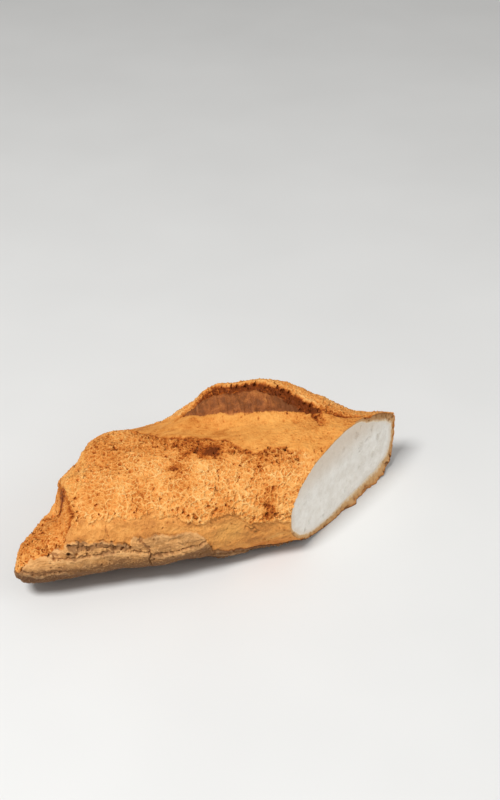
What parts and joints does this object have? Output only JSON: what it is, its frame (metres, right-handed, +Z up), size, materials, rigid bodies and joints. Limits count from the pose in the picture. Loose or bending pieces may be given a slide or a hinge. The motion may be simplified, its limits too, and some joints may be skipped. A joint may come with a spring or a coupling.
{
  "type": "half of a gluten-free baguette",
  "caption": "Half of a small gluten-free baguette lying on its base: skewed rounded heel, opened scores, raised skin along the back and a slanted cut that shows white crumb.",
  "frame": {"origin": "on the flat base, under the middle of the bounding box", "axes": "+X along the loaf from the heel to the cut, +Z up from the base to the crust on top, +Y towards the raised skin along the back"},
  "size_m": [0.1578, 0.07, 0.0453],
  "materials": {
    "crust": "matte, browned and porous",
    "crumb": "matte, fine pores"
  },
  "bodies": {
    "root": {"baguette_half": "crust"}
  },
  "joints": []
}
